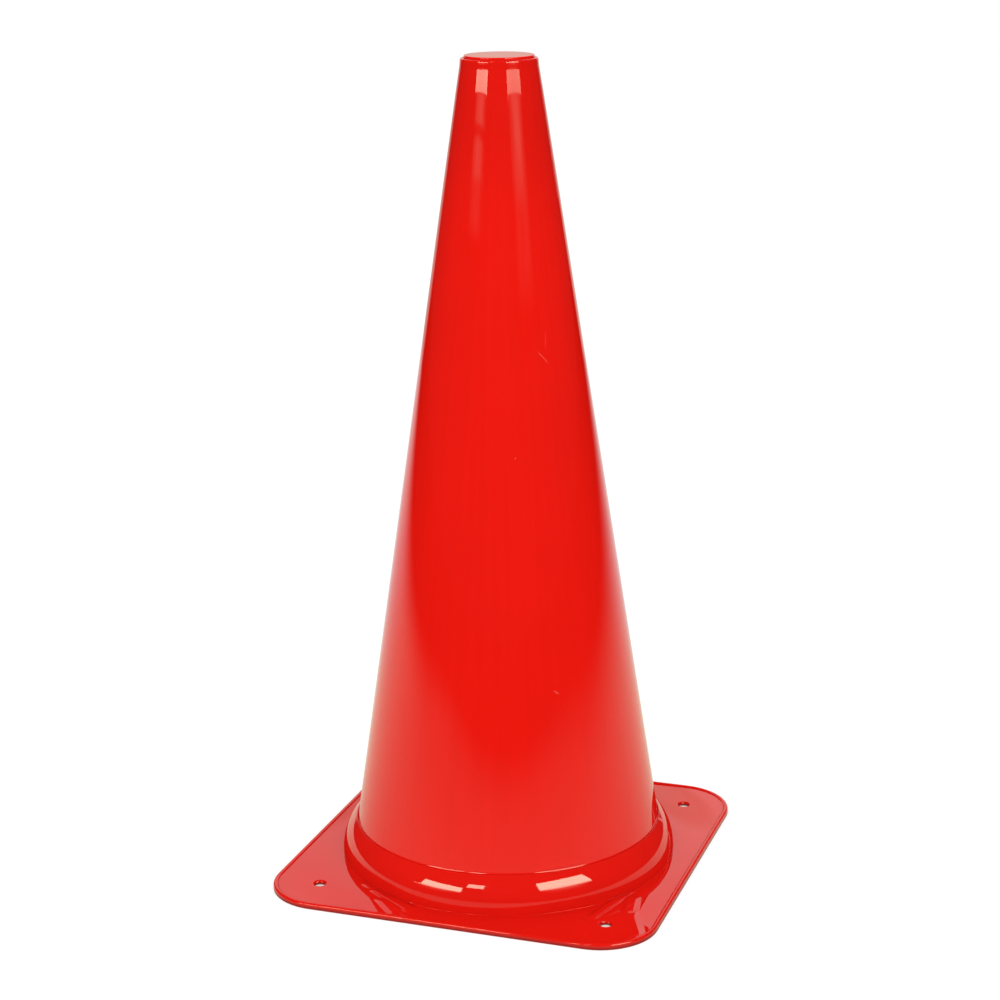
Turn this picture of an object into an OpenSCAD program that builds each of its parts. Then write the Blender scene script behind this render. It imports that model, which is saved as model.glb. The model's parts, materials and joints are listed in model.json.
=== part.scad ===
// Sports marker cone: a hollow tapered shell that stands in the raised
// collar of a square base plate, with a cap that plugs the small end.
// The base rests on the floor at z = 0, and the cone's axis is Z.

/* [Cone] */
// Height of the rim above the floor
rim_h = 378.8; // [300:0.1:460]
// Outer diameter at the rim
rim_d = 34.4; // [30:0.1:60]
// Outer diameter at the height where the collar's curve would meet it
foot_d = 144.4; // [110:0.1:160]
// Wall of the cone and of its flared foot
cone_wall = 1.8; // [1.2:0.1:3]
// Rounding of the rim's outer edge
rim_round = 1.2; // [0.2:0.1:1.4]
// Length of the thick ring inside the mouth, which holds the cap
mouth_ring_l = 10; // [6:0.5:20]

/* [Collar] */
// Height above the floor where the shoulder's curve would meet the cone
collar_h = 19.8; // [15:0.1:28]
// How far the collar stands out beyond the cone
collar_out = 7.6; // [4:0.1:9]
// Height of the collar's upright wall, from the root fillet to the shoulder
upright_h = 0.2; // [0.1:0.1:4]
// Radius of the fillet between the collar and the plate
root_r = 1; // [0.4:0.1:4]
// Rounding of the edge round the mouth
lip_round = 0.45; // [0.2:0.05:0.8]

/* [Plate] */
// Side of the square base, over the edge bead
plate_side = 185.4; // [184:0.1:240]
// Outer radius of the base's corners
corner_r = 27; // [8:0.5:40]
// Wall of the plate and of the collar
base_wall = 1.8; // [1.2:0.1:2.6]
// Gap between the plate's underside and the floor
plate_lift = 0.3; // [0:0.1:1]
// Width of the edge bead
bead_w = 2.4; // [1.6:0.1:4]
// Height of the edge bead above the floor
bead_h = 2.8; // [2.4:0.1:5]
// Distance between the holes, along each side
hole_spacing = 139.5; // [126:0.5:156]
// Diameter of the holes
hole_d = 5; // [4:0.1:12]
// Straight depth of the holes, below their rounded mouths
hole_land = 0.6; // [0.2:0.1:1]

/* [Cap] */
// How far the cap's disc stands above the rim
cap_rise = 1.2; // [0.8:0.1:4]
// Width of the rim that is left bare round the disc
rim_ledge = 1.4; // [1:0.1:4]
// Thickness of the disc over the hollow spigot
cap_wall = 1.8; // [1:0.1:4]
// Rounding of the disc's upper edge
cap_round = 0.4; // [0.2:0.1:0.9]
// How far the disc reaches out beyond the spigot
spigot_step = 1.4; // [0.6:0.1:3]
// Length of the spigot below the rim
spigot_l = 8; // [4:0.5:16]
// Wall of the spigot
spigot_wall = 1.5; // [0.8:0.1:2.5]
// Rounding that leads the spigot into the bore
spigot_round = 0.6; // [0.2:0.1:0.8]

/* [Fits] */
// Clearance between the pieces, on each side
fit_gap = 0.15; // [0.05:0.05:0.3]

/* [Hidden] */
$fn = 128;
CONE_RED = [0.88, 0.10, 0.08];
BASE_RED = [0.84, 0.09, 0.08];
CAP_RED = [0.90, 0.14, 0.11];

// The cone's outer line: every point p on it has p * taper_n = taper_p
rim_r = rim_d / 2;
foot_r = foot_d / 2;
half_angle = atan((foot_r - rim_r) / (rim_h - collar_h));
taper_n = [cos(half_angle), sin(half_angle)];
taper_p = taper_n * [rim_r, rim_h];

// Radius of a line beside the cone's outer line, out by gap, at height z
function beside_cone(z, gap = 0) = (taper_p + gap - z * taper_n[1]) / taper_n[0];
function polar(angle) = [cos(angle), sin(angle)];

// Levels of the base
plate_top = plate_lift + base_wall;
shoulder_z = plate_top + root_r + upright_h;

// The holes' mouths round out from the straight depth to the plate's upper face
hole_round = base_wall - hole_land;
mouth_r = hole_d / 2 + hole_round;

// The shoulder's arc leaves the upright wall upright and ends at the mouth
collar_r = foot_r + collar_out;
shoulder_rise = collar_h - shoulder_z;
shoulder_r = (shoulder_rise ^ 2 + collar_out ^ 2) / (2 * collar_out);
shoulder_c = [collar_r - shoulder_r, shoulder_z];
collar_inner_r = shoulder_r - base_wall;

// The lip's rounding touches the shoulder's arc and the clearance to the cone
lip_reach = (taper_p + fit_gap + lip_round - taper_n * shoulder_c) / (shoulder_r - lip_round);
lip_angle = half_angle + acos(lip_reach);
lip_c = shoulder_c + (shoulder_r - lip_round) * polar(lip_angle);

// The foot's flare nests under the shoulder, round the same centre
flare_r = collar_inner_r - fit_gap;
flare_inner_r = flare_r - cone_wall;

// The cap's disc, its spigot and the bore that the spigot plugs
cap_r = rim_r - rim_ledge;
cap_top = rim_h + cap_rise;
spigot_r = cap_r - spigot_step;
spigot_end = rim_h - spigot_l;
bore_r = spigot_r + fit_gap;
rim_round_c = [beside_cone(rim_h - rim_round, -rim_round), rim_h - rim_round];

// Overrun of every cut, past the whole part
over = rim_h + plate_side;

// Square with rounded corners
module rounded_square(side, r) {
    square([side, side - 2 * r], center = true);
    square([side - 2 * r, side], center = true);
    for (x = [-1, 1], y = [-1, 1])
        translate([x, y] * (side / 2 - r)) circle(r = r);
}

// Cuts the corner between directions a and b back to a circle about c
module round_off(c, r, a, b) {
    reach = 8 * r;
    translate(c) difference() {
        polygon([[0, 0], reach * a, reach * (a + b), reach * b]);
        circle(r = r);
    }
}

// Everything within the cone's outer line, moved out by gap
module within_taper(gap = 0) {
    polygon([
        [0, -over], [beside_cone(-over, gap), -over],
        [beside_cone(over, gap), over], [0, over]
    ]);
}

// Half section of the shell: flared foot, tapered wall and mouth ring
module shell_section() {
    translate([shoulder_c[0] + flare_inner_r, 0])
        square([cone_wall, shoulder_z]);
    difference() {
        intersection() {
            translate([0, shoulder_z]) square([over, rim_h - shoulder_z]);
            union() {
                within_taper();
                translate(shoulder_c) circle(r = flare_r);
            }
        }
        difference() {
            within_taper(-cone_wall);
            translate([0, rim_h - mouth_ring_l]) square([over, mouth_ring_l]);
        }
        square([bore_r, over]);
        translate(shoulder_c) circle(r = flare_inner_r);
        round_off(rim_round_c, rim_round, taper_n, [0, 1]);
    }
}

module cone_shell() {
    color(CONE_RED) rotate_extrude() shell_section();
}

// Half section of the collar: root fillet, upright wall, shoulder and lip
module collar_section() {
    translate([collar_r + root_r, plate_top + root_r]) difference() {
        intersection() {
            circle(r = root_r + base_wall);
            translate([-over, -over]) square(over);
        }
        circle(r = root_r);
    }
    translate([collar_r - base_wall, plate_top + root_r])
        square([base_wall, upright_h]);
    difference() {
        intersection() {
            translate(shoulder_c) circle(r = shoulder_r);
            translate([0, shoulder_z]) square([over, over]);
        }
        translate(shoulder_c) circle(r = collar_inner_r);
        within_taper(fit_gap);
        round_off(lip_c, lip_round, polar(lip_angle), -taper_n);
    }
}

// Cross section of the edge bead, upright on the floor
module bead_section() {
    translate([-bead_w / 2, 0]) square([bead_w, bead_h - bead_w / 2]);
    translate([0, bead_h - bead_w / 2]) circle(d = bead_w);
}

// Edge bead: four straight runs and four corners of one section
module edge_bead() {
    run = plate_side - 2 * corner_r;
    for (turn = [0 : 90 : 270]) rotate(turn) {
        translate([(plate_side - bead_w) / 2, run / 2, 0]) rotate([90, 0, 0])
            linear_extrude(run) bead_section();
        translate([run / 2, run / 2, 0]) rotate_extrude(angle = 90)
            translate([corner_r - bead_w / 2, 0]) bead_section();
    }
}

// Half section of the rim round a hole, flush with the plate
module hole_rim_section() {
    difference() {
        translate([hole_d / 2, plate_lift]) square([hole_round, base_wall]);
        round_off([mouth_r, plate_top - hole_round], hole_round, [-1, 0], [0, 1]);
    }
}

// Repeats its children at the four corner holes
module at_holes() {
    for (x = [-1, 1], y = [-1, 1])
        translate([x, y] * hole_spacing / 2) children();
}

module base_plate() {
    color(BASE_RED) {
        difference() {
            union() {
                translate([0, 0, plate_lift]) linear_extrude(base_wall)
                    rounded_square(plate_side - bead_w, corner_r - bead_w / 2);
                edge_bead();
            }
            translate([0, 0, -over]) cylinder(r = collar_r + root_r, h = 2 * over);
            at_holes() translate([0, 0, -over]) cylinder(r = mouth_r, h = 2 * over);
        }
        rotate_extrude() collar_section();
        at_holes() rotate_extrude() hole_rim_section();
    }
}

// Half section of the cap: disc on the rim, hollow spigot in the bore
module cap_section() {
    difference() {
        union() {
            translate([0, rim_h]) square([cap_r, cap_rise]);
            translate([0, spigot_end]) square([spigot_r, spigot_l + cap_rise / 2]);
        }
        translate([0, rim_h - over])
            square([spigot_r - spigot_wall, over + cap_rise - cap_wall]);
        round_off([cap_r, cap_top] - cap_round * [1, 1], cap_round, [1, 0], [0, 1]);
        round_off([spigot_r, spigot_end] + spigot_round * [-1, 1], spigot_round, [1, 0], [0, -1]);
    }
}

module top_cap() {
    color(CAP_RED) rotate_extrude() cap_section();
}

cone_shell();
base_plate();
top_cap();
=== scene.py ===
"""Dresses the tall red marker cone: a turned shell, a moulded base and a cap, in glossy plastic."""
import json
import logging
import math
from collections.abc import Callable, Sequence
from dataclasses import dataclass
from enum import Enum
from functools import cached_property

import bmesh
import bpy
from mathutils import Matrix, Vector

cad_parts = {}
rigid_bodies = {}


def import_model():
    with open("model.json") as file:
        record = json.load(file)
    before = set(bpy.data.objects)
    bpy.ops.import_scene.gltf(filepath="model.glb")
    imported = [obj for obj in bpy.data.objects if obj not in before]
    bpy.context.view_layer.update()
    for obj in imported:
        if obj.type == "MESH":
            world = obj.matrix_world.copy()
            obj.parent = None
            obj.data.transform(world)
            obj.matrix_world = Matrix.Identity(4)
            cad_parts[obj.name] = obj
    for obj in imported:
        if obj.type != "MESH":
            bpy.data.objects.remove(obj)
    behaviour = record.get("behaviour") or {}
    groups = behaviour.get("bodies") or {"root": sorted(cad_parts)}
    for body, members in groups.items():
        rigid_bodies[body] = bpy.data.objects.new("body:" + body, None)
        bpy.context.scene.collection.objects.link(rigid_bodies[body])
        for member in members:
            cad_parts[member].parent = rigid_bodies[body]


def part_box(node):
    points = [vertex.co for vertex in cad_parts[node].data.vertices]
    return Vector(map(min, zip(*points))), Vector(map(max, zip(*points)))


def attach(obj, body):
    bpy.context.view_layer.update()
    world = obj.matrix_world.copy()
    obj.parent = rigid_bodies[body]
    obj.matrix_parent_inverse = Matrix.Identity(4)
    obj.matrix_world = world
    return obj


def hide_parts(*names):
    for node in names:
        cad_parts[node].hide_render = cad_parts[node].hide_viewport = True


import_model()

MM = 0.001
BODY = "root"
MERGE_DISTANCE = 0.001 * MM
LOG = logging.getLogger("marker_cone")

Station = tuple[float, float]
Span = tuple[float, float]
Point = tuple[float, float, float]
Colour = tuple[float, float, float, float]
Socket = bpy.types.NodeSocket
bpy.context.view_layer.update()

# Edges: the turns that are rounded, the turns that are shaded smooth and the rounding's facets
BEVEL_ANGLE = math.radians(35)
SMOOTH_ANGLE = math.radians(40)
EDGE_FACETS = 2

# How upright the normal of a level face is at least
LEVEL = 0.9

# How a mark fades: at its ends over a share of its length, up to a limit, and beside its core
END_SHARE = 0.3
END_LIMIT = 6 * MM
CORE_SHARE = 0.3

# Ray depths between one mirroring and a second
MIRRORED_ONCE = 1.3
MIRRORED_TWICE = 1.7


def math_node(operation: str, swapped: bool = False) -> Callable[..., "Number"]:
    """A method of Number that adds a Math node and gives its result.

    Args:
        operation: The node's operation.
        swapped: Whether the number comes last, as in a reflected operator.

    Returns:
        The method.
    """

    def method(self: "Number", *others: "Number | float") -> "Number":
        """Adds the node."""
        terms = (*others, self) if swapped else (self, *others)
        return self.graph.number("Math", {"operation": operation}, dict(enumerate(terms)))

    return method


@dataclass(frozen=True)
class Number:
    """A number inside a shader, given by a socket, whose arithmetic adds Math nodes."""

    graph: "Graph"
    socket: Socket

    __add__ = math_node("ADD")
    __radd__ = math_node("ADD", swapped=True)
    __sub__ = math_node("SUBTRACT")
    __rsub__ = math_node("SUBTRACT", swapped=True)
    __mul__ = math_node("MULTIPLY")
    __rmul__ = math_node("MULTIPLY", swapped=True)
    __truediv__ = math_node("DIVIDE")
    __abs__ = math_node("ABSOLUTE")
    most = math_node("MAXIMUM")

    def ramp(self, start: float, end: float) -> "Number":
        """A soft step.

        Args:
            start: Where the step is 0.
            end: Where the step is 1, which may lie below the start.

        Returns:
            0 before the start, 1 past the end and an S curve between them.
        """
        low, high = sorted((start, end))
        settings = {"interpolation_type": "SMOOTHSTEP"}
        sockets = {"Value": self, "From Min": low, "From Max": high}
        step = self.graph.number("MapRange", settings, sockets)
        return step if start < end else 1 - step


class Graph:
    """The nodes of one material or of the world."""

    def __init__(self, tree: bpy.types.NodeTree) -> None:
        """Empties the tree.

        Args:
            tree: The node tree to fill.
        """
        self.tree = tree
        tree.nodes.clear()

    def node(self, kind: str, settings: dict, sockets: dict) -> bpy.types.ShaderNode:
        """Adds a node.

        Args:
            kind: The node's type, without the words in front.
            settings: Its attributes, which are set first.
            sockets: Values, sockets or numbers for its inputs, by name or place.

        Returns:
            The node.
        """
        made = self.tree.nodes.new("ShaderNode" + kind)
        for name, value in settings.items():
            setattr(made, name, value)
        for key, value in sockets.items():
            goal = made.inputs[key]
            if isinstance(key, str):
                goal = next(s for s in made.inputs if s.name == key and s.enabled)
            if isinstance(value, Number):
                value = value.socket
            if isinstance(value, Socket):
                self.tree.links.new(value, goal)
            else:
                goal.default_value = value
        return made

    def out(self, kind: str, settings: dict, sockets: dict) -> Socket:
        """The first usable output of a new node, whose arguments are those of node."""
        return next(s for s in self.node(kind, settings, sockets).outputs if s.enabled)

    def number(self, kind: str, settings: dict, sockets: dict) -> Number:
        """The first usable output of a new node, as a number."""
        return Number(self, self.out(kind, settings, sockets))

    @cached_property
    def place(self) -> Socket:
        """Where on the object the shaded point lies, in metres."""
        return self.node("TexCoord", {}, {}).outputs["Object"]

    @cached_property
    def parts(self) -> tuple[Number, Number, Number]:
        """The three parts of the place."""
        split = self.node("SeparateXYZ", {}, {"Vector": self.place})
        return tuple(Number(self, socket) for socket in split.outputs)

    @cached_property
    def from_axis(self) -> Number:
        """How far the place lies from the Z axis."""
        x, y, _ = self.parts
        return self.measure("LENGTH", self.vector(x, y, 0))

    def path(self, name: str) -> Number:
        """What the light path says of the ray, such as whether the camera sent it."""
        return Number(self, self.node("LightPath", {}, {}).outputs[name])

    def mirrored_once(self) -> Number:
        """1 where the object mirrors this straight to the eye, and 0 for the image of an image."""
        return self.path("Ray Depth").ramp(MIRRORED_TWICE, MIRRORED_ONCE)

    def vector(self, x: Number | float, y: Number | float, z: Number | float) -> Socket:
        """A vector of three numbers."""
        return self.out("CombineXYZ", {}, {"X": x, "Y": y, "Z": z})

    def measure(self, operation: str, *vectors: Socket | Sequence[float]) -> Number:
        """The number that a Vector Math node makes of vectors, such as a length or a distance."""
        made = self.node("VectorMath", {"operation": operation}, dict(enumerate(vectors)))
        return Number(self, made.outputs["Value"])

    def noise(self, vector: Socket, scale: float, detail: float = 2.0) -> Number:
        """Smooth noise from 0 to 1.

        Args:
            vector: Where the noise is read.
            scale: Its waves per unit.
            detail: How many finer octaves it has.

        Returns:
            The noise.
        """
        return self.number("TexNoise", {}, {"Vector": vector, "Scale": scale, "Detail": detail})

    def blend(self, share: Number | float, start: Sequence[float], end: Sequence[float]) -> Socket:
        """A colour between two colours.

        Args:
            share: How much of the end colour it has.
            start: The first colour or socket.
            end: The second colour or socket.

        Returns:
            The mixed colour.
        """
        return self.out("Mix", {"data_type": "RGBA"}, {"Factor": share, "A": start, "B": end})

    def bump(self, height: Number, distance: float, normal: Socket | None) -> Socket:
        """A normal that follows a height.

        Args:
            height: The height, from 0 to 1.
            distance: How high 1 is, in metres.
            normal: The normal below it, if there is one.

        Returns:
            The normal.
        """
        sockets = {"Height": height, "Distance": distance}
        if normal is not None:
            sockets["Normal"] = normal
        return self.out("Bump", {}, sockets)

    def surface(self, shader: Socket) -> None:
        """Gives the material's surface a shader."""
        self.node("OutputMaterial", {}, {"Surface": shader})

    def glow(self, tint: Sequence[float] | Socket, strength: Number | float) -> None:
        """Makes the material's surface glow in a tint, with its strength as the radiance."""
        self.surface(self.out("Emission", {}, {"Color": tint, "Strength": strength}))


def colour(red: float, green: float, blue: float) -> Colour:
    """An opaque colour."""
    return red, green, blue, 1.0


BLACK = colour(0, 0, 0)
WHITE = colour(1, 1, 1)


def new_material(name: str) -> tuple[bpy.types.Material, Graph]:
    """A new material and its empty graph."""
    made = bpy.data.materials.new(name)
    made.use_nodes = True
    return made, Graph(made.node_tree)


class Flow(Enum):
    """Which way the plastic ran in the mould."""

    UP_THE_CONE = "up"
    OVER_THE_PLATE = "over"


@dataclass(frozen=True)
class Mark:
    """A straight mark in the plastic: a scratch or a ridge.

    Its width is counted from its middle line to either side, and its strength scales its effect.
    """

    start: Vector
    end: Vector
    width: float
    strength: float = 1.0


@dataclass(frozen=True)
class MouldedPlastic:
    """Glossy moulded plastic: deep even colour, faint flow lines and a soft waviness in its gloss.

    Scales are in waves per metre, and a span gives the values between which something sets in. The
    dome lifts the plate's middle in the gloss alone: its values are the radii of its crown's end
    and of its foot, and its drop. The top and foot shades are painted shade: they darken the
    cone's top and the foot of the bead in the colour itself, standing in for less light there.
    """

    name: str
    tone: Colour
    flow: Flow
    index: float = 1.5
    roughness: float = 0.024
    smudge_roughness: float = 0.02
    smudge_scale: float = 48.0
    smudge_span: Span = (0.48, 0.75)
    wave_height: float = 0.05 * MM
    wave_scale: float = 22.0
    peel_height: float = 0.0015 * MM
    peel_scale: float = 420.0
    shade_depth: float = 0.05
    plate_flow_scale: float = 60.0
    cone_flow_turn: float = 14.0
    cone_flow_scale: float = 9.0
    flow_span: Span = (0.35, 0.7)
    cloud_scale: float = 26.0
    cloud_span: Span = (0.3, 0.7)
    marks: tuple[Mark, ...] = ()
    mark_tone: Colour = (0.88, 0.16, 0.12, 1.0)
    mark_share: float = 0.3
    mark_roughness: float = 0.25
    ridges: tuple[Mark, ...] = ()
    ridge_height: float = 0.3 * MM
    ridge_span: Span = (2.6 * MM, 2.2 * MM)
    dome: Point | None = None
    # Painted shade at the cone's top and the bead's foot: how much the colour is darkened and the heights
    # where it sets in
    top_painted_shade: float = 0.0
    top_painted_shade_span: Span = (0.30, 0.36)
    foot_painted_shade: float = 0.0
    foot_painted_shade_span: Span = (2.0 * MM, 0.6 * MM)

    def _streaks(self, graph: Graph) -> Number:
        """Faint lines of pigment along the way that the plastic ran, from 0 to 1."""
        x, y, z = graph.parts
        if self.flow is Flow.OVER_THE_PLATE:
            scale = self.plate_flow_scale
            return graph.noise(graph.vector(x * scale, y * scale, z * scale), 1.0, detail=3.0)
        radius = graph.from_axis.most(1 * MM)
        turn = self.cone_flow_turn
        flowed = graph.vector(x / radius * turn, y / radius * turn, z * self.cone_flow_scale)
        return graph.noise(flowed, 1.0, detail=3.0)

    def _mark(self, graph: Graph, mark: Mark) -> Number:
        """How much of a scratch or ridge lies at the point.

        Args:
            graph: The material's graph.
            mark: The scratch or ridge.

        Returns:
            The mark's strength along its middle line, falling to 0 at its sides and ends.
        """
        along = mark.end - mark.start
        way = along.normalized()
        from_start = graph.out("VectorMath", {"operation": "SUBTRACT"}, {0: graph.place, 1: mark.start})
        run = graph.measure("DOT_PRODUCT", from_start, way)
        foot = graph.out("VectorMath", {"operation": "SCALE"}, {0: tuple(way), "Scale": run})
        off = graph.measure("DISTANCE", from_start, foot)
        fade = min(along.length * END_SHARE, END_LIMIT)
        ends = run.ramp(0.0, fade) * run.ramp(along.length, along.length - fade)
        return off.ramp(mark.width, mark.width * CORE_SHARE) * ends * mark.strength

    def _tint(self, graph: Graph) -> Socket:
        """The tone with its flow lines and clouds, and painted shade toward the top or the foot."""
        streaks = self._streaks(graph).ramp(*self.flow_span)
        clouds = graph.noise(graph.place, self.cloud_scale, detail=3.0).ramp(*self.cloud_span)
        deep = tuple(part * (1 - self.shade_depth) for part in self.tone[:3]) + (1.0,)
        tint = graph.blend(streaks * 0.5 + clouds * 0.5, self.tone, deep)
        height = graph.parts[2]
        # Painted shade: the cone's top and the bead's foot are darkened toward black in the colour itself
        top = height.ramp(*self.top_painted_shade_span) * self.top_painted_shade
        foot = height.ramp(*self.foot_painted_shade_span) * self.foot_painted_shade
        return graph.blend(top + foot, tint, BLACK)

    def _relief(self, graph: Graph) -> Socket:
        """The normal over the waves, the fine peel, the dome and the ridges."""
        waves = graph.noise(graph.place, self.wave_scale, detail=1.0)
        normal = graph.bump(waves, self.wave_height, None)
        normal = graph.bump(graph.noise(graph.place, self.peel_scale), self.peel_height, normal)
        if self.dome:
            crown, foot, drop = self.dome
            normal = graph.bump(graph.from_axis.ramp(foot, crown), drop, normal)
        if self.ridges:
            raised: Number | float = 0.0
            for ridge in self.ridges:
                raised = self._mark(graph, ridge).most(raised)
            raised = raised * graph.parts[2].ramp(*self.ridge_span)
            normal = graph.bump(raised, self.ridge_height, normal)
        return normal

    def build(self) -> bpy.types.Material:
        """Makes the material."""
        made, graph = new_material(self.name)
        tint = self._tint(graph)
        smudges = graph.noise(graph.place, self.smudge_scale, detail=4.0).ramp(*self.smudge_span)
        rough = smudges * self.smudge_roughness + self.roughness
        if self.marks:
            scratched: Number | float = 0.0
            for mark in self.marks:
                scratched = self._mark(graph, mark) + scratched
            tint = graph.blend(scratched * self.mark_share, tint, self.mark_tone)
            rough = rough + scratched * self.mark_roughness
        sockets = {"Base Color": tint, "Roughness": rough, "IOR": self.index}
        sockets["Normal"] = self._relief(graph)
        graph.surface(graph.out("BsdfPrincipled", {}, sockets))
        return made


def deselect_all() -> None:
    """Leaves nothing selected, so that the next operator acts on new parts only."""
    if bpy.context.mode != "OBJECT":
        bpy.ops.object.mode_set(mode="OBJECT")
    bpy.ops.object.select_all(action="DESELECT")


def select_parts(kind: str, wanted: Callable[[bmesh.types.BMFace | bmesh.types.BMEdge], bool]) -> int:
    """Selects faces or edges of the mesh in edit mode.

    Args:
        kind: FACE or EDGE.
        wanted: Says whether a face or edge is selected.

    Returns:
        How many are selected.
    """
    bpy.ops.mesh.select_all(action="DESELECT")
    bpy.ops.mesh.select_mode(type=kind)
    mesh = bpy.context.edit_object.data
    edit = bmesh.from_edit_mesh(mesh)
    chosen = [part for part in (edit.faces if kind == "FACE" else edit.edges) if wanted(part)]
    for part in chosen:
        part.select = True
    edit.select_flush(True)
    bmesh.update_edit_mesh(mesh)
    return len(chosen)


def apply_modifier(kind: str, **settings: float | bool | str | bpy.types.Object) -> None:
    """Adds a modifier to the active object, gives it its settings and applies it."""
    bpy.ops.object.modifier_add(type=kind)
    made = bpy.context.object.modifiers[-1]
    for name, value in settings.items():
        setattr(made, name, value)
    bpy.ops.object.modifier_apply(modifier=made.name)


def at_height(edge: bmesh.types.BMEdge, height: float) -> bool:
    """Whether an open edge lies level at a height."""
    return edge.is_boundary and all(abs(v.co.z - height) < MERGE_DISTANCE for v in edge.verts)


def arc(centre: Station, radius: float, start: float, end: float, steps: int) -> list[Station]:
    """Stations along an arc of a section.

    Args:
        centre: The arc's centre.
        radius: Its radius.
        start: The angle where it starts, in radians from straight out.
        end: The angle where it ends.
        steps: How many equal steps it takes.

    Returns:
        The stations, both ends among them.
    """
    angles = [start + (end - start) * step / steps for step in range(steps + 1)]
    return [(centre[0] + radius * math.cos(a), centre[1] + radius * math.sin(a)) for a in angles]


def spin_section(stations: Sequence[Station], segments: int, closed: bool) -> None:
    """Draws a half section in edit mode, point by point, and spins it round Z.

    Args:
        stations: The section's points, as radius and height.
        segments: How many steps the turn has.
        closed: Whether the last point runs back to the first.
    """
    first = stations[0]
    bpy.ops.mesh.select_all(action="DESELECT")
    bpy.ops.mesh.select_mode(type="VERT")
    bpy.ops.mesh.primitive_plane_add(size=MM, location=(first[0], 0, first[1]))
    bpy.ops.mesh.merge(type="CENTER")
    route = [*stations, first] if closed else list(stations)
    for here, there in zip(route, route[1:]):
        step = (there[0] - here[0], 0, there[1] - here[1])
        bpy.ops.mesh.extrude_vertices_move(TRANSFORM_OT_translate={"value": step})
    bpy.ops.mesh.select_linked()
    bpy.ops.mesh.spin(steps=segments, angle=math.tau, center=(0, 0, 0), axis=(0, 0, 1))
    bpy.ops.mesh.select_all(action="SELECT")
    bpy.ops.mesh.remove_doubles(threshold=MERGE_DISTANCE)


def turn_object(stations: Sequence[Station], segments: int, closed: bool) -> None:
    """Makes a new active object of a half section, with the arguments of spin_section."""
    bpy.ops.mesh.primitive_plane_add(size=MM)
    bpy.ops.object.mode_set(mode="EDIT")
    bpy.ops.mesh.delete(type="VERT")
    spin_section(stations, segments, closed)
    bpy.ops.mesh.normals_make_consistent(inside=False)
    bpy.ops.object.mode_set(mode="OBJECT")


@dataclass(frozen=True)
class ConeForm:
    """The lines that the cone, its foot and the collar round it share, from the frame and in metres."""

    rim_height: float
    rim_radius: float = 17.2 * MM
    foot_radius: float = 72.2 * MM
    collar_height: float = 19.8 * MM
    collar_out: float = 7.6 * MM
    shoulder_height: float = 3.3 * MM
    wall: float = 1.8 * MM
    clearance: float = 0.15 * MM

    @property
    def half_angle(self) -> float:
        """The angle between the cone's side and its axis."""
        drop = self.rim_height - self.collar_height
        return math.atan((self.foot_radius - self.rim_radius) / drop)

    @property
    def shoulder_radius(self) -> float:
        """Radius of the shoulder's arc, which leaves the collar's wall upright."""
        rise = self.collar_height - self.shoulder_height
        return (rise**2 + self.collar_out**2) / (2 * self.collar_out)

    @property
    def shoulder_centre(self) -> Station:
        """Centre of the shoulder's arc."""
        return self.collar_radius - self.shoulder_radius, self.shoulder_height

    @property
    def collar_radius(self) -> float:
        """Outer radius of the collar."""
        return self.foot_radius + self.collar_out

    @property
    def reach(self) -> float:
        """Distance of the cone's outer line from the origin, square to the line."""
        return self.rim_radius * math.cos(self.half_angle) + self.rim_height * math.sin(self.half_angle)

    def beside(self, height: float, gap: float = 0.0) -> float:
        """Radius of a line beside the cone's outer line.

        Args:
            height: Where the radius is taken.
            gap: How far out the line lies.

        Returns:
            The radius.
        """
        return (self.reach + gap - height * math.sin(self.half_angle)) / math.cos(self.half_angle)

    def lip_centre(self, rounding: float) -> Station:
        """Centre of the lip's rounding.

        Args:
            rounding: The rounding's radius.

        Returns:
            The centre.
        """
        arc_radius = self.shoulder_radius - rounding
        angle = self.meeting(arc_radius, self.clearance + rounding)
        return arc(self.shoulder_centre, arc_radius, angle, angle, 1)[0]

    def meeting(self, radius: float, gap: float) -> float:
        """Angle on an arc about the shoulder's centre where it meets a line beside the cone.

        Args:
            radius: The arc's radius.
            gap: How far out the line lies.

        Returns:
            The angle, in radians from straight out.
        """
        centre = self.shoulder_centre
        aside = centre[0] * math.cos(self.half_angle) + centre[1] * math.sin(self.half_angle)
        return self.half_angle + math.acos((self.reach + gap - aside) / radius)


@dataclass
class Piece:
    """A piece of the cone: its node, its finish and its mesh."""

    node: str
    slot: str
    finish: MouldedPlastic

    def model(self) -> None:
        """Builds the piece's mesh in a new active object."""
        raise NotImplementedError

    def finish_edges(self, width: float) -> None:
        """Rounds the sharp edges by a width and evens out the shading."""
        apply_modifier(
            "BEVEL", width=width, segments=EDGE_FACETS, limit_method="ANGLE", angle_limit=BEVEL_ANGLE
        )
        bpy.ops.object.shade_smooth_by_angle(angle=SMOOTH_ANGLE)
        apply_modifier("WEIGHTED_NORMAL", keep_sharp=True)

    def build(self) -> None:
        """Models the piece, dresses it and ties it to the frame."""
        deselect_all()
        self.model()
        made = bpy.context.object
        made.name = self.node + "_moulding"
        made.data.name = made.name
        made.data.materials.clear()
        made.data.materials.append(self.finish.build())
        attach(made, BODY)
        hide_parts(self.node)
        LOG.info("%s: %d faces", made.name, len(made.data.polygons))


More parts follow.
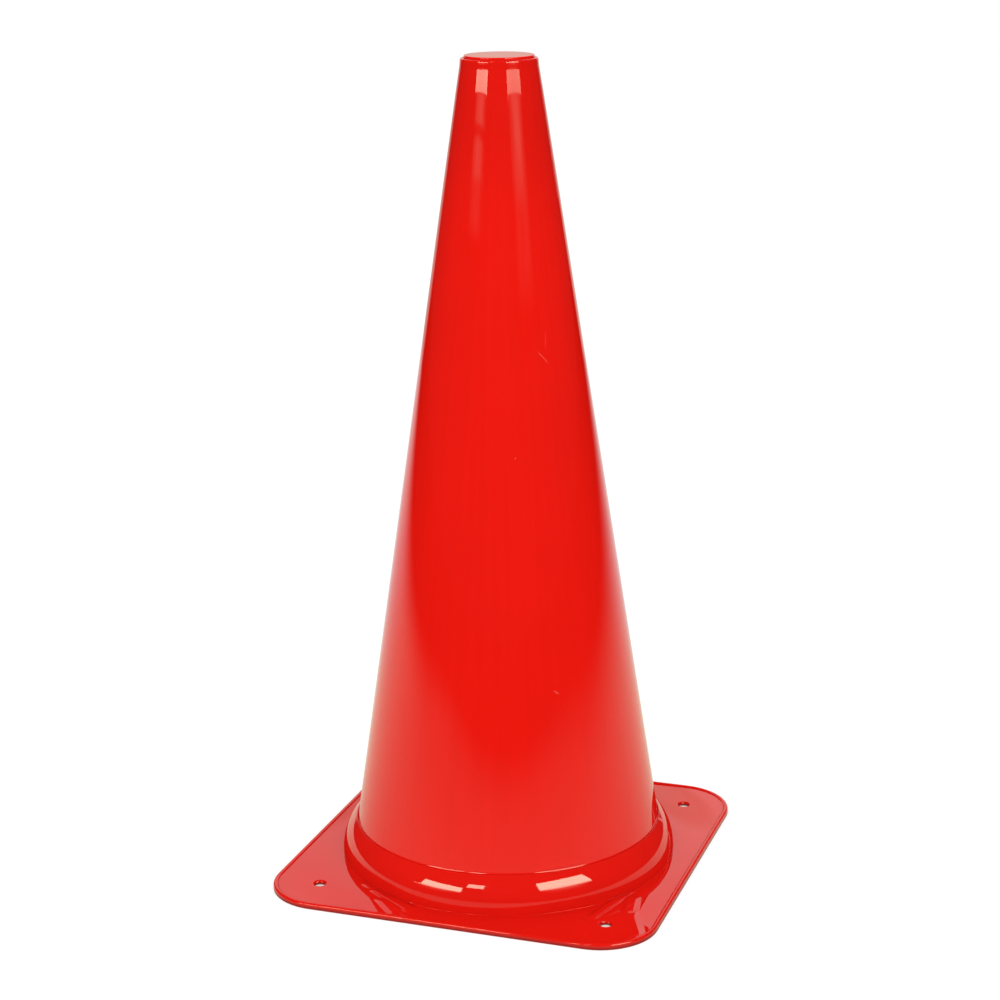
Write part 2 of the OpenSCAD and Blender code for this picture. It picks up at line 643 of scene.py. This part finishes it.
@dataclass
class ConeShell(Piece):
    """The hollow tapered shell, with a flared foot under the collar and a thick ring in its mouth."""

    form: ConeForm
    bore_radius: float = 14.55 * MM
    mouth_ring: float = 10.0 * MM
    rim_rounding: float = 0.8 * MM
    ring_foot_drop: float = 14.8 * MM
    sink_drop: float = 3.9 * MM
    sink_depth: float = 0.076 * MM
    brim_drop: float = 0.9 * MM
    brim_swell: float = 0.06 * MM
    fillet_reach: float = 0.15 * MM
    fillet_rise: float = 0.28 * MM
    fillet_fall: float = 0.12 * MM
    lip_rounding: float = 0.35 * MM
    segments: int = 256
    wall_rings: int = 24
    flare_steps: int = 14
    fillet_steps: int = 28
    fillet_ease: float = 1.5
    fillet_spreads: float = 2.5
    lean_steps: int = 4
    brim_steps: int = 8
    rim_steps: int = 12
    edge_width: float = 0.2 * MM

    def lip_swell(self, foot: float) -> list[Station]:
        """The side from the foot, where the flare ends, to above the lip, with a fine fillet."""
        form = self.form
        lip_top = form.lip_centre(self.lip_rounding)[1] + self.lip_rounding
        middle = (foot + lip_top) / 2
        side = [(form.beside(middle), middle)]
        low = lip_top - self.fillet_spreads * self.fillet_fall
        high = lip_top + self.fillet_spreads * self.fillet_rise
        for step in range(self.fillet_steps + 1):
            height = low + (high - low) * (step / self.fillet_steps) ** self.fillet_ease
            spread = self.fillet_fall if height < lip_top else self.fillet_rise
            swell = self.fillet_reach * math.exp(-(((height - lip_top) / spread) ** 2))
            side.append((form.beside(height, swell), height))
        return side

    def sink_and_brim(self, ring_foot: float) -> list[Station]:
        """The side from the ring's foot up: it leans in to a sink, then swells to the brim."""
        form = self.form
        side = []
        sink = form.rim_height - self.sink_drop
        for step in range(1, self.lean_steps + 1):
            share = step / self.lean_steps
            height = ring_foot + (sink - ring_foot) * share
            side.append((form.beside(height, -self.sink_depth * share), height))
        brim = form.rim_height - self.brim_drop
        for step in range(1, self.brim_steps + 1):
            ease = (1 - math.cos(math.pi * step / self.brim_steps)) / 2
            height = sink + (brim - sink) * step / self.brim_steps
            offset = (self.brim_swell + self.sink_depth) * ease - self.sink_depth
            side.append((form.beside(height, offset), height))
        return side

    def outer_side(self) -> list[Station]:
        """The outer line, from the floor up the flare and the taper to the rim."""
        form = self.form
        flare = form.shoulder_radius - form.wall - form.clearance
        top = form.meeting(flare, 0.0)
        centre = form.shoulder_centre
        side = [(centre[0] + flare, 0.0), *arc(centre, flare, 0.0, top, self.flare_steps)]
        side += self.lip_swell(side[-1][1])
        high = side[-1][1]
        ring_foot = form.rim_height - self.ring_foot_drop
        for ring in range(1, self.wall_rings + 1):
            height = high + (ring_foot - high) * ring / self.wall_rings
            side.append((form.beside(height), height))
        side += self.sink_and_brim(ring_foot)
        corner = form.rim_height - self.rim_rounding
        centre = (form.beside(corner, self.brim_swell - self.rim_rounding), corner)
        return side + arc(centre, self.rim_rounding, form.half_angle, math.pi / 2, self.rim_steps)

    def inner_side(self) -> list[Station]:
        """The inner line, from the rim down the bore, the taper and the flare to the floor."""
        form = self.form
        ring_end = form.rim_height - self.mouth_ring
        side = [(self.bore_radius, form.rim_height), (self.bore_radius, ring_end)]
        flare = form.shoulder_radius - form.wall - form.clearance - form.wall
        top = form.meeting(flare, -form.wall)
        curve = arc(form.shoulder_centre, flare, top, 0.0, self.flare_steps)
        for ring in range(self.wall_rings):
            height = ring_end + (curve[0][1] - ring_end) * ring / self.wall_rings
            side.append((form.beside(height, -form.wall), height))
        return side + curve + [(curve[-1][0], 0.0)]

    def model(self) -> None:
        """Spins the section and rounds its edges."""
        turn_object(self.outer_side() + self.inner_side(), self.segments, closed=True)
        self.finish_edges(self.edge_width)


@dataclass
class BasePlate(Piece):
    """The square base: one wall from the edge bead over the plate and up the collar to its lip."""

    form: ConeForm
    side: float = 185.4 * MM
    corner_radius: float = 27.0 * MM
    lift: float = 0.3 * MM
    wall: float = 1.8 * MM
    root_radius: float = 0.15 * MM
    lip_rounding: float = 0.35 * MM
    bead_width: float = 2.4 * MM
    bead_height: float = 2.8 * MM
    hole_spacing: float = 139.5 * MM
    hole_radius: float = 2.5 * MM
    hole_land: float = 0.6 * MM
    segments: int = 256
    corner_segments: int = 20
    rings: int = 14
    root_steps: int = 12
    shoulder_steps: int = 22
    lip_steps: int = 8
    hollow_steps: int = 16
    bead_steps: int = 14
    mouth_steps: int = 12
    drill_segments: int = 64
    edge_width: float = 0.2 * MM

    @property
    def top(self) -> float:
        """Height of the plate's upper face."""
        return self.lift + self.wall

    def collar_section(self) -> list[Station]:
        """The collar's section, from the plate's upper face over the lip to its underside."""
        form = self.form
        half_turn = math.pi
        root = (form.collar_radius + self.root_radius, self.top + self.root_radius)
        outside = arc(root, self.root_radius, 1.5 * half_turn, half_turn, self.root_steps)
        inside = arc(root, self.root_radius + self.wall, half_turn, 1.5 * half_turn, self.root_steps)
        centre = form.shoulder_centre
        lip_gap = form.clearance + self.lip_rounding
        lip_angle = form.meeting(form.shoulder_radius - self.lip_rounding, lip_gap)
        lip_centre = form.lip_centre(self.lip_rounding)
        lip_end = half_turn + form.half_angle
        shoulder = arc(centre, form.shoulder_radius, 0.0, lip_angle, self.shoulder_steps)
        lip = arc(lip_centre, self.lip_rounding, lip_angle, lip_end, self.lip_steps)
        hollow_radius = form.shoulder_radius - form.wall
        hollow_top = form.meeting(hollow_radius, form.clearance)
        hollow = arc(centre, hollow_radius, hollow_top, 0.0, self.hollow_steps)
        return outside + shoulder + lip[1:] + hollow + inside

    def rounded_outline(self) -> None:
        """Lays the base's outline on the floor as one face with even points along its runs."""
        bpy.ops.mesh.primitive_plane_add(size=self.side)
        bpy.ops.object.mode_set(mode="EDIT")
        bpy.ops.mesh.select_all(action="SELECT")
        bpy.ops.mesh.bevel(
            offset=self.corner_radius,
            offset_type="OFFSET",
            segments=self.corner_segments,
            affect="VERTICES",
        )
        bpy.ops.mesh.delete(type="ONLY_FACE")
        select_parts("EDGE", lambda edge: edge.calc_length() > self.corner_radius)
        cuts = self.segments // 4 - self.corner_segments - 1
        bpy.ops.mesh.subdivide(number_cuts=cuts)
        bpy.ops.mesh.select_all(action="SELECT")
        bpy.ops.mesh.edge_face_add()
        if select_parts("FACE", lambda face: face.normal.z < 0):
            bpy.ops.mesh.flip_normals()

    def bead_and_foot(self) -> None:
        """Raises the outline into the edge bead, and sinks the underside between its feet."""
        crown = self.bead_width / 2
        upright = self.bead_height - crown
        select_parts("FACE", lambda face: True)
        bpy.ops.mesh.extrude_region_move(TRANSFORM_OT_translate={"value": (0, 0, upright)})
        bpy.ops.mesh.normals_make_consistent(inside=False)
        select_parts("FACE", lambda face: face.normal.z > LEVEL)
        over = math.pi - math.asin((self.top - upright) / crown)
        route = arc((0.0, 0.0), crown, 0.0, over, self.bead_steps)
        for here, there in zip(route, route[1:]):
            bpy.ops.mesh.inset(thickness=here[0] - there[0], depth=there[1] - here[1])
        bpy.ops.mesh.delete(type="ONLY_FACE")
        select_parts("FACE", lambda face: face.normal.z < -LEVEL)
        bpy.ops.mesh.inset(thickness=self.bead_width, depth=0)
        bpy.ops.mesh.extrude_region_move(TRANSFORM_OT_translate={"value": (0, 0, self.lift)})
        bpy.ops.mesh.delete(type="ONLY_FACE")

    def bridge(self, height: float) -> None:
        """Spans the plate at one level, from the collar's ring to the bead.

        Args:
            height: The level.
        """
        select_parts("EDGE", lambda edge: at_height(edge, height))
        bpy.ops.mesh.bridge_edge_loops(number_cuts=self.rings, interpolation="LINEAR")

    def drill_section(self) -> list[Station]:
        """The section of a drill that leaves a hole with a rounded mouth, from the axis to the axis."""
        rounding = self.wall - self.hole_land
        mouth = self.hole_radius + rounding
        overrun = 2 * self.wall
        centre = (mouth, self.top - rounding)
        flare = arc(centre, rounding, math.pi, math.pi / 2, self.mouth_steps)
        # The flare runs on a little out and up, so that it crosses the plate's face
        out_part = 8
        up_part = 60
        past_mouth = (mouth + rounding / out_part, self.top + rounding / up_part)
        return [
            (0.0, -overrun),
            (self.hole_radius, -overrun),
            *flare[:-1],
            past_mouth,
            (past_mouth[0], self.top + overrun),
            (0.0, self.top + overrun),
        ]

    def drill(self) -> None:
        """Drills the four corner holes, each with its own copy of one drill."""
        plate = bpy.context.object
        deselect_all()
        turn_object(self.drill_section(), self.drill_segments, closed=False)
        cutter = bpy.context.object
        cutter.location = (self.hole_spacing / 2, self.hole_spacing / 2, 0)
        bpy.ops.object.transform_apply(location=True, rotation=False, scale=False)
        for _ in range(3):
            bpy.ops.object.mode_set(mode="EDIT")
            bpy.ops.mesh.duplicate()
            bpy.ops.transform.rotate(value=math.pi / 2, orient_axis="Z", center_override=(0, 0, 0))
            bpy.ops.object.mode_set(mode="OBJECT")
        bpy.context.view_layer.objects.active = plate
        apply_modifier("BOOLEAN", operation="DIFFERENCE", solver="EXACT", object=cutter)
        bpy.data.objects.remove(cutter)
        plate.select_set(True)
        bpy.context.view_layer.objects.active = plate

    def model(self) -> None:
        """Builds the bead, the collar and the plate between them, then drills the holes."""
        self.rounded_outline()
        self.bead_and_foot()
        spin_section(self.collar_section(), self.segments, closed=False)
        self.bridge(self.top)
        self.bridge(self.lift)
        bpy.ops.mesh.select_all(action="SELECT")
        bpy.ops.mesh.remove_doubles(threshold=MERGE_DISTANCE)
        bpy.ops.mesh.normals_make_consistent(inside=False)
        bpy.ops.object.mode_set(mode="OBJECT")
        self.drill()
        self.finish_edges(self.edge_width)


@dataclass
class TopCap(Piece):
    """The cap: a flat disc on the rim with a hollow spigot in the mouth."""

    rim_height: float
    radius: float = 15.8 * MM
    draft: float = math.radians(3)
    foot_lean: float = math.radians(11)
    foot_height: float = 0.45 * MM
    rise: float = 1.2 * MM
    wall: float = 1.8 * MM
    rounding: float = 0.4 * MM
    spigot_radius: float = 14.4 * MM
    spigot_length: float = 8.0 * MM
    spigot_wall: float = 1.5 * MM
    spigot_rounding: float = 0.6 * MM
    segments: int = 128
    face_rings: int = 6
    rounding_steps: int = 8
    lead_steps: int = 5
    edge_width: float = 0.12 * MM

    def section(self) -> list[Station]:
        """The cap's section, from the middle of the disc round the spigot and back to the axis."""
        top = self.rim_height + self.rise
        end = self.rim_height - self.spigot_length
        hollow = self.spigot_radius - self.spigot_wall
        waist = self.radius - self.foot_height * math.tan(self.foot_lean)
        lean = (self.rise - self.rounding - self.foot_height) * math.tan(self.draft)
        edge = (waist - lean - self.rounding * math.cos(self.draft), top - self.rounding)
        lead = (self.spigot_radius - self.spigot_rounding, end + self.spigot_rounding)
        face = [(edge[0] * ring / self.face_rings, top) for ring in range(self.face_rings)]
        return [
            *face,
            *arc(edge, self.rounding, math.pi / 2, self.draft, self.rounding_steps),
            (waist, self.rim_height + self.foot_height),
            (self.radius, self.rim_height),
            (self.spigot_radius, self.rim_height),
            *arc(lead, self.spigot_rounding, 0.0, -math.pi / 2, self.lead_steps),
            (hollow, end),
            (hollow, top - self.wall),
            (0.0, top - self.wall),
        ]

    def model(self) -> None:
        """Spins the section and rounds its edges."""
        turn_object(self.section(), self.segments, closed=False)
        self.finish_edges(self.edge_width)


@dataclass(frozen=True)
class Viewpoint:
    """Where the photograph was taken from, fitted to the object's outline in it."""

    lens: float = 83.258
    azimuth: float = math.radians(18.985)
    distance: float = 1.03509
    height: float = 0.47394
    pitch: float = math.radians(16.090)
    pan: float = math.radians(-0.113)
    roll: float = math.radians(-0.715)
    sensor: float = 36.0

    def build(self) -> None:
        """Makes the camera and gives it to the scene."""
        data = bpy.data.cameras.new("camera")
        data.lens = self.lens
        data.sensor_width = self.sensor
        camera = bpy.data.objects.new("camera", data)
        bpy.context.scene.collection.objects.link(camera)
        turn = Matrix.Rotation(self.azimuth - self.pan, 4, "Z")
        tilt = Matrix.Rotation(math.pi / 2 - self.pitch, 4, "X")
        lean = Matrix.Rotation(self.roll, 4, "Z")
        stand = Vector((math.sin(self.azimuth), -math.cos(self.azimuth), 0)) * self.distance
        place = Matrix.Translation(stand + Vector((0, 0, self.height)))
        camera.matrix_world = place @ turn @ tilt @ lean
        bpy.context.scene.camera = camera


def only_mirrored(made: bpy.types.Object) -> None:
    """Leaves a backdrop to the reflections: it neither shows nor shades nor lights."""
    made.visible_camera = False
    made.visible_diffuse = False
    made.visible_shadow = False
    made.visible_transmission = False
    made.visible_volume_scatter = False


def upright_sheet(
    name: str, width: float, height: float, middle: Point
) -> bpy.types.Object:
    """Hangs an upright sheet, level with X.

    Args:
        name: The sheet's name.
        width: How wide it is.
        height: How high it is.
        middle: Where its middle lies.

    Returns:
        The sheet.
    """
    bpy.ops.mesh.primitive_plane_add(size=1.0, rotation=(math.pi / 2, 0, 0))
    made = bpy.context.object
    made.name = name
    bpy.ops.object.transform_apply(location=False, rotation=True, scale=True)
    made.data.transform(Matrix.Diagonal((width, 1.0, height, 1.0)))
    made.data.transform(Matrix.Translation(middle))
    return made


@dataclass(frozen=True)
class Softbox:
    """An upright glowing cloth, placed by the directions of its sides as seen from the object.

    The sides are counted in degrees from the camera's direction, which the azimuth gives.

    Its steps give where each begins and ends in metres and the radiance that it reaches, from the
    foot up, and lie higher at its right side than at its left by the rise. Above the taper's span
    its left side is cut back by the taper. The veil is a row of dimmer steps below them, patchy
    and faded toward both sides over the share that fade gives.
    """

    name: str
    azimuth: float
    left: float
    right: float
    distance: float
    top: float
    steps: tuple[Point, ...]
    veil: tuple[Point, ...] = ()
    rise: float = 0.0
    taper: float = 0.0
    taper_span: Span = (0.86, 0.90)
    side_edge: float = 0.01
    fade: float = 0.85
    patch_scale: float = 9.0
    patch_span: Span = (0.3, 0.6)
    patch_floor: float = 0.55
    tint: Colour = (1.0, 1.0, 0.76, 1.0)

    @property
    def width(self) -> float:
        """The cloth's width."""
        return 2 * self.distance * math.tan(math.radians((self.right - self.left) / 2))

    @property
    def turned(self) -> float:
        """Which way the cloth's middle lies from the object, in radians."""
        return self.azimuth + math.radians((self.left + self.right) / 2)

    def cloth(self) -> bpy.types.Material:
        """The cloth, with sharp steps and below them a dim veil that fades to its sides."""
        made, graph = new_material(self.name)
        x, y, z = graph.parts
        along = x * math.cos(self.turned) + y * math.sin(self.turned)
        level = z - along * (self.rise / self.width)
        half = self.width / 2
        full = half * (1 - self.fade)
        cut = (along - z.ramp(*self.taper_span) * self.taper).ramp(-half, -half + self.side_edge)
        sides = along.ramp(-half, -full) * along.ramp(half, full)
        patches = graph.noise(graph.place, self.patch_scale).ramp(*self.patch_span)
        patches = patches * (1 - self.patch_floor) + self.patch_floor
        glow: Number | float = 0.0
        for steps, share in ((self.veil, sides * patches), (self.steps, 1.0)):
            reached = 0.0
            for begins, ends, radiance in steps:
                glow = level.ramp(begins, ends) * (radiance - reached) * share + glow
                reached = radiance
        graph.glow(self.tint, graph.mirrored_once() * glow * cut)
        return made

    def build(self) -> None:
        """Hangs the cloth, facing the object."""
        foot = (self.veil or self.steps)[0][0] - abs(self.rise) / 2
        middle = (0, -self.distance, (self.top + foot) / 2)
        made = upright_sheet(self.name, self.width, self.top - foot, middle)
        made.data.transform(Matrix.Rotation(self.turned, 4, "Z"))
        made.data.materials.append(self.cloth())
        only_mirrored(made)


@dataclass(frozen=True)
class Studio:
    """The white table, the white wall behind it, the dark room round them and the lamps.

    Places and spans are in metres along the camera's own level axes: X to its right and Y away
    from it. A glow's name says where it is reached, and a gain is what its span adds to its floor.
    """

    azimuth: float
    ambient: float = 1.0
    table_side: float = 8.0
    paper_glow: float = 0.87
    front_glow: float = 0.37
    front_span: Span = (-1.0, -0.30)
    rear_span: Span = (-0.36, 0.2)
    left_span: Span = (-1.2, -0.62)
    right_span: Span = (1.05, 0.3)
    blue_span: Span = (0.15, 0.5)
    blue_gain: float = 0.18
    blue_floor: float = 0.79
    seen_glow: float = 0.56
    seen_tint: Colour = (0.5, 0.5, 0.5, 1.0)
    lit_tint: Colour = (0.42, 0.42, 0.41, 1.0)
    hole_reach: float = 76 * MM
    # Under the base the paper carries a painted shadow and a painted warm tint of bounce light
    under_base_painted_shadow: float = 0.2
    under_base_painted_bounce: Colour = (1.0, 0.88, 0.80, 1.0)
    wall_size: Span = (2.0, 1.7)
    wall_middle: Point = (-0.05, 1.4, 0.8)
    wall_glow: float = 0.95
    wall_foot_glow: float = 0.68
    wall_foot_span: Span = (0.51, 0.60)
    wall_slope_span: Span = (-0.3, 0.3)
    wall_slope_gain: float = 0.2
    wall_slope_floor: float = 0.88
    wall_left_span: Span = (-1.05, -0.75)
    wall_right_span: Span = (0.95, 0.65)
    room_sides: int = 72
    room_radius: float = 3.2
    room_height: float = 8.0
    room_opening: float = math.radians(37.5)
    room_glow: float = 0.02
    fill_glow: float = 0.35
    fill_size: Span = (2.4, 1.8)
    fill_distance: float = 2.6
    fill_rise: float = math.radians(24)
    fill_aim: float = 0.2

    def _lay(self, made: bpy.types.Object, material: bpy.types.Material) -> None:
        """Dresses a backdrop, turns it with the camera and marks it as no part of the object."""
        made.data.materials.append(material)
        made.rotation_euler = (0, 0, self.azimuth)

    def _mirrored_paper(self, graph: Graph) -> Socket:
        """The paper in the object's gloss: bright behind it, dim before it and dark far aside."""
        x, y, _ = graph.parts
        front = y.ramp(*self.front_span) * self.front_glow
        rear = y.ramp(*self.rear_span) * (self.paper_glow - self.front_glow)
        glow = (front + rear) * x.ramp(*self.left_span) * x.ramp(*self.right_span)
        blue = glow * (y.ramp(*self.blue_span) * self.blue_gain + self.blue_floor)
        return graph.out("BsdfDiffuse", {}, {"Color": graph.vector(glow, glow, blue)})

    def _seen_paper(self, graph: Graph) -> Socket:
        """The paper before the camera, with a painted shadow and a painted warm bounce tint under the base,
        seen through the holes.
        """
        x, y, _ = graph.parts
        cosine = math.cos(self.azimuth)
        sine = math.sin(self.azimuth)
        # Painted shadow under the base: the paper's glow drops there and takes a painted warm bounce tint
        ends = (self.hole_reach + MM, self.hole_reach)
        under = abs(x * cosine - y * sine).ramp(*ends) * abs(x * sine + y * cosine).ramp(*ends)
        tint = graph.blend(under, WHITE, self.under_base_painted_bounce)
        strength = self.seen_glow - under * self.under_base_painted_shadow
        base = graph.out("Emission", {}, {"Color": tint, "Strength": strength})
        faint = graph.out("BsdfDiffuse", {}, {"Color": self.seen_tint})
        return graph.out("AddShader", {}, {0: faint, 1: base})

    def paper(self) -> bpy.types.Material:
        """White paper, which keeps a faint rendered shadow and a painted shadow under the object, and can't
        be seen from below.
        """
        made, graph = new_material("white_paper")
        lit = graph.out("BsdfDiffuse", {}, {"Color": self.lit_tint})
        clear = graph.out("BsdfTransparent", {}, {})
        below = graph.node("NewGeometry", {}, {}).outputs["Backfacing"]
        shader = lit
        for share, other in (
            (graph.path("Is Glossy Ray"), self._mirrored_paper(graph)),
            (graph.path("Is Camera Ray"), self._seen_paper(graph)),
            (below, clear),
        ):
            shader = graph.out("MixShader", {}, {"Fac": share, 1: shader, 2: other})
        graph.surface(shader)
        return made

    def table(self) -> None:
        """Lays the table's top."""
        bpy.ops.mesh.primitive_plane_add(size=self.table_side)
        made = bpy.context.object
        made.name = "table_top"
        self._lay(made, self.paper())

    def wall(self) -> None:
        """Hangs the white wall behind the object, which its gloss mirrors, dimmer at its foot."""
        made = upright_sheet("white_wall", *self.wall_size, self.wall_middle)
        material, graph = new_material("white_wall")
        x, _, z = graph.parts
        head = z.ramp(*self.wall_foot_span)
        glow = head * (self.wall_glow - self.wall_foot_glow) + self.wall_foot_glow
        slope = x.ramp(*self.wall_slope_span) * self.wall_slope_gain + self.wall_slope_floor
        glow = glow * slope * graph.mirrored_once()
        glow = glow * x.ramp(*self.wall_left_span) * x.ramp(*self.wall_right_span)
        graph.glow(graph.blend(head, colour(1, 1, 0.87), colour(1, 1, 0.94)), glow)
        self._lay(made, material)
        only_mirrored(made)

    def dark_room(self) -> None:
        """Hangs black cloth round the front and the sides, which only the gloss mirrors."""
        bpy.ops.mesh.primitive_cylinder_add(
            vertices=self.room_sides, radius=self.room_radius, depth=self.room_height, location=(0, 0, 0)
        )
        made = bpy.context.object
        bpy.ops.object.mode_set(mode="EDIT")

        def behind(face: bmesh.types.BMFace) -> bool:
            """Whether a face closes the bottom or the opening behind the object."""
            middle = face.calc_center_median()
            turn = abs(math.atan2(middle.x, middle.y))
            return face.normal.z < -LEVEL or (abs(face.normal.z) < LEVEL and turn < self.room_opening)

        select_parts("FACE", behind)
        bpy.ops.mesh.delete(type="FACE")
        bpy.ops.object.mode_set(mode="OBJECT")
        material, graph = new_material("black_cloth")
        graph.glow(WHITE, self.room_glow)
        made.name = "black_cloth"
        self._lay(made, material)
        only_mirrored(made)

    def fill(self) -> None:
        """Sets a wide soft lamp, unmirrored, that lights a white face turned to it up to the fill glow."""
        lamp = bpy.data.lights.new("front_fill", "AREA")
        lamp.shape = "RECTANGLE"
        lamp.size, lamp.size_y = self.fill_size
        lamp.energy = self.fill_glow * (math.pi * self.fill_distance) ** 2
        box = bpy.data.objects.new("front_fill", lamp)
        bpy.context.scene.collection.objects.link(box)
        level = math.cos(self.fill_rise)
        ahead = (math.sin(self.azimuth) * level, -math.cos(self.azimuth) * level)
        outward = Vector((*ahead, math.sin(self.fill_rise)))
        box.location = outward * self.fill_distance + Vector((0, 0, self.fill_aim))
        box.rotation_mode = "QUATERNION"
        box.rotation_quaternion = outward.to_track_quat("Z", "Y")
        box.visible_camera = False
        box.visible_glossy = False

    def sky(self) -> None:
        """Sets the world: white where it is seen, and an even light all round."""
        world = bpy.data.worlds.new("studio")
        world.use_nodes = True
        bpy.context.scene.world = world
        graph = Graph(world.node_tree)
        seen = graph.path("Is Camera Ray")
        for way in ("Is Glossy Ray", "Is Transmission Ray"):
            seen = seen.most(graph.path(way))
        strength = seen * (1.0 - self.ambient) + self.ambient
        shader = graph.out("Background", {}, {"Color": WHITE, "Strength": strength})
        graph.node("OutputWorld", {}, {"Surface": shader})

    def build(self) -> None:
        """Sets up the whole studio."""
        deselect_all()
        self.table()
        self.wall()
        self.dark_room()
        self.fill()
        self.sky()
        left_veil = (
            (0.590, 0.640, 0.35),
            (0.690, 0.715, 0.95),
            (0.758, 0.770, 0.15),
            (0.782, 0.794, 1.20),
            (0.858, 0.866, 0.0),
        )
        right_veil = ((0.385, 0.470, 0.30), (0.500, 0.600, 1.20), (0.650, 0.658, 0.0))
        left = ((0.858, 0.866, 6.0), (0.870, 1.020, 12.0))
        right = ((0.650, 0.658, 3.6), (0.660, 0.800, 12.0))
        small = ((1.672, 1.680, 10.0),)
        turn = self.azimuth
        boxes = (
            Softbox("left_softbox", turn, -67.0, -33.0, 2.8, 1.552, left, left_veil, rise=0.10, taper=0.24),
            Softbox("small_softbox", turn, -31.0, -18.0, 2.8, 2.27, small),
            Softbox("right_softbox", turn, 20.5, 59.0, 1.56, 1.418, right, right_veil, rise=-0.055),
        )
        for box in boxes:
            box.build()


# Marks, each with its start and end, its width and its strength, in millimetres
SCRATCHES = (
    ((25.0, -26.5, 253.6), (29.8, -22.7, 246.7), 0.3, 1.0),
    ((27.6, -21.5, 262.7), (28.1, -23.2, 253.1), 0.4, 0.4),
    ((38.1, -45.9, 101.7), (40.5, -44.3, 99.4), 0.5, 1.0),
    ((18.7, -39.3, 207.2), (19.1, -39.1, 206.6), 0.6, 1.0),
)
PLATE_RIDGES = (
    ((77.5, -11.0, 2.1), (68.0, -45.0, 2.1), 3.4, 1.3),
    ((72.5, -29.0, 2.1), (61.0, -68.5, 2.1), 3.2, 2.0),
    ((73.0, -36.0, 2.1), (77.5, -59.0, 2.1), 4.5, 1.9),
    ((76.0, -53.0, 2.1), (87.5, -81.0, 2.1), 4.8, 1.4),
    ((-51.5, -59.5, 2.1), (-31.0, -73.0, 2.1), 5.4, 1.8),
    ((-45.0, -65.5, 2.1), (-17.0, -84.0, 2.1), 4.4, 2.8),
    ((-37.5, -74.0, 2.1), (-23.0, -89.0, 2.1), 4.5, 1.9),
)


def marks(rows: Sequence[tuple[Sequence[float], Sequence[float], float, float]]) -> tuple[Mark, ...]:
    """Marks in metres, from rows in millimetres."""
    return tuple(Mark(Vector(a) * MM, Vector(b) * MM, width * MM, share) for a, b, width, share in rows)


def cone_pieces() -> tuple[Piece, ...]:
    """The three pieces, sized from the frame and with their finishes."""
    form = ConeForm(rim_height=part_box("cone_shell")[1].z)
    cone_red = colour(0.84, 0.0098, 0.0050)
    base_red = colour(0.74, 0.0092, 0.0048)
    cone_finish = MouldedPlastic(
        # The cone's top is darkened by painted shade
        "cone_plastic", cone_red, Flow.UP_THE_CONE, marks=marks(SCRATCHES), top_painted_shade=0.1
    )
    base_finish = MouldedPlastic(
        "base_plastic",
        base_red,
        Flow.OVER_THE_PLATE,
        wave_height=0.08 * MM,
        ridges=marks(PLATE_RIDGES),
        # The bead's foot is darkened by painted shade
        foot_painted_shade=0.5,
        dome=(82.0 * MM, 112.0 * MM, 1.6 * MM),
    )
    cap_finish = MouldedPlastic("cap_plastic", cone_red, Flow.OVER_THE_PLATE)
    base_side = 2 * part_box("base_plate")[1].x
    cap_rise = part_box("top_cap")[1].z - form.rim_height
    return (
        ConeShell("cone_shell", "cone_plastic", cone_finish, form),
        BasePlate("base_plate", "base_plastic", base_finish, form, side=base_side),
        TopCap("top_cap", "cap_plastic", cap_finish, rim_height=form.rim_height, rise=cap_rise),
    )


def main() -> None:
    """Builds the studio and the pieces."""
    logging.basicConfig(level=logging.INFO, format="%(message)s")
    bpy.context.scene.view_settings.view_transform = "Standard"
    view = Viewpoint()
    view.build()
    Studio(view.azimuth).build()
    for piece in cone_pieces():
        piece.build()
    bpy.context.view_layer.update()


if __name__ == "__main__":
    main()
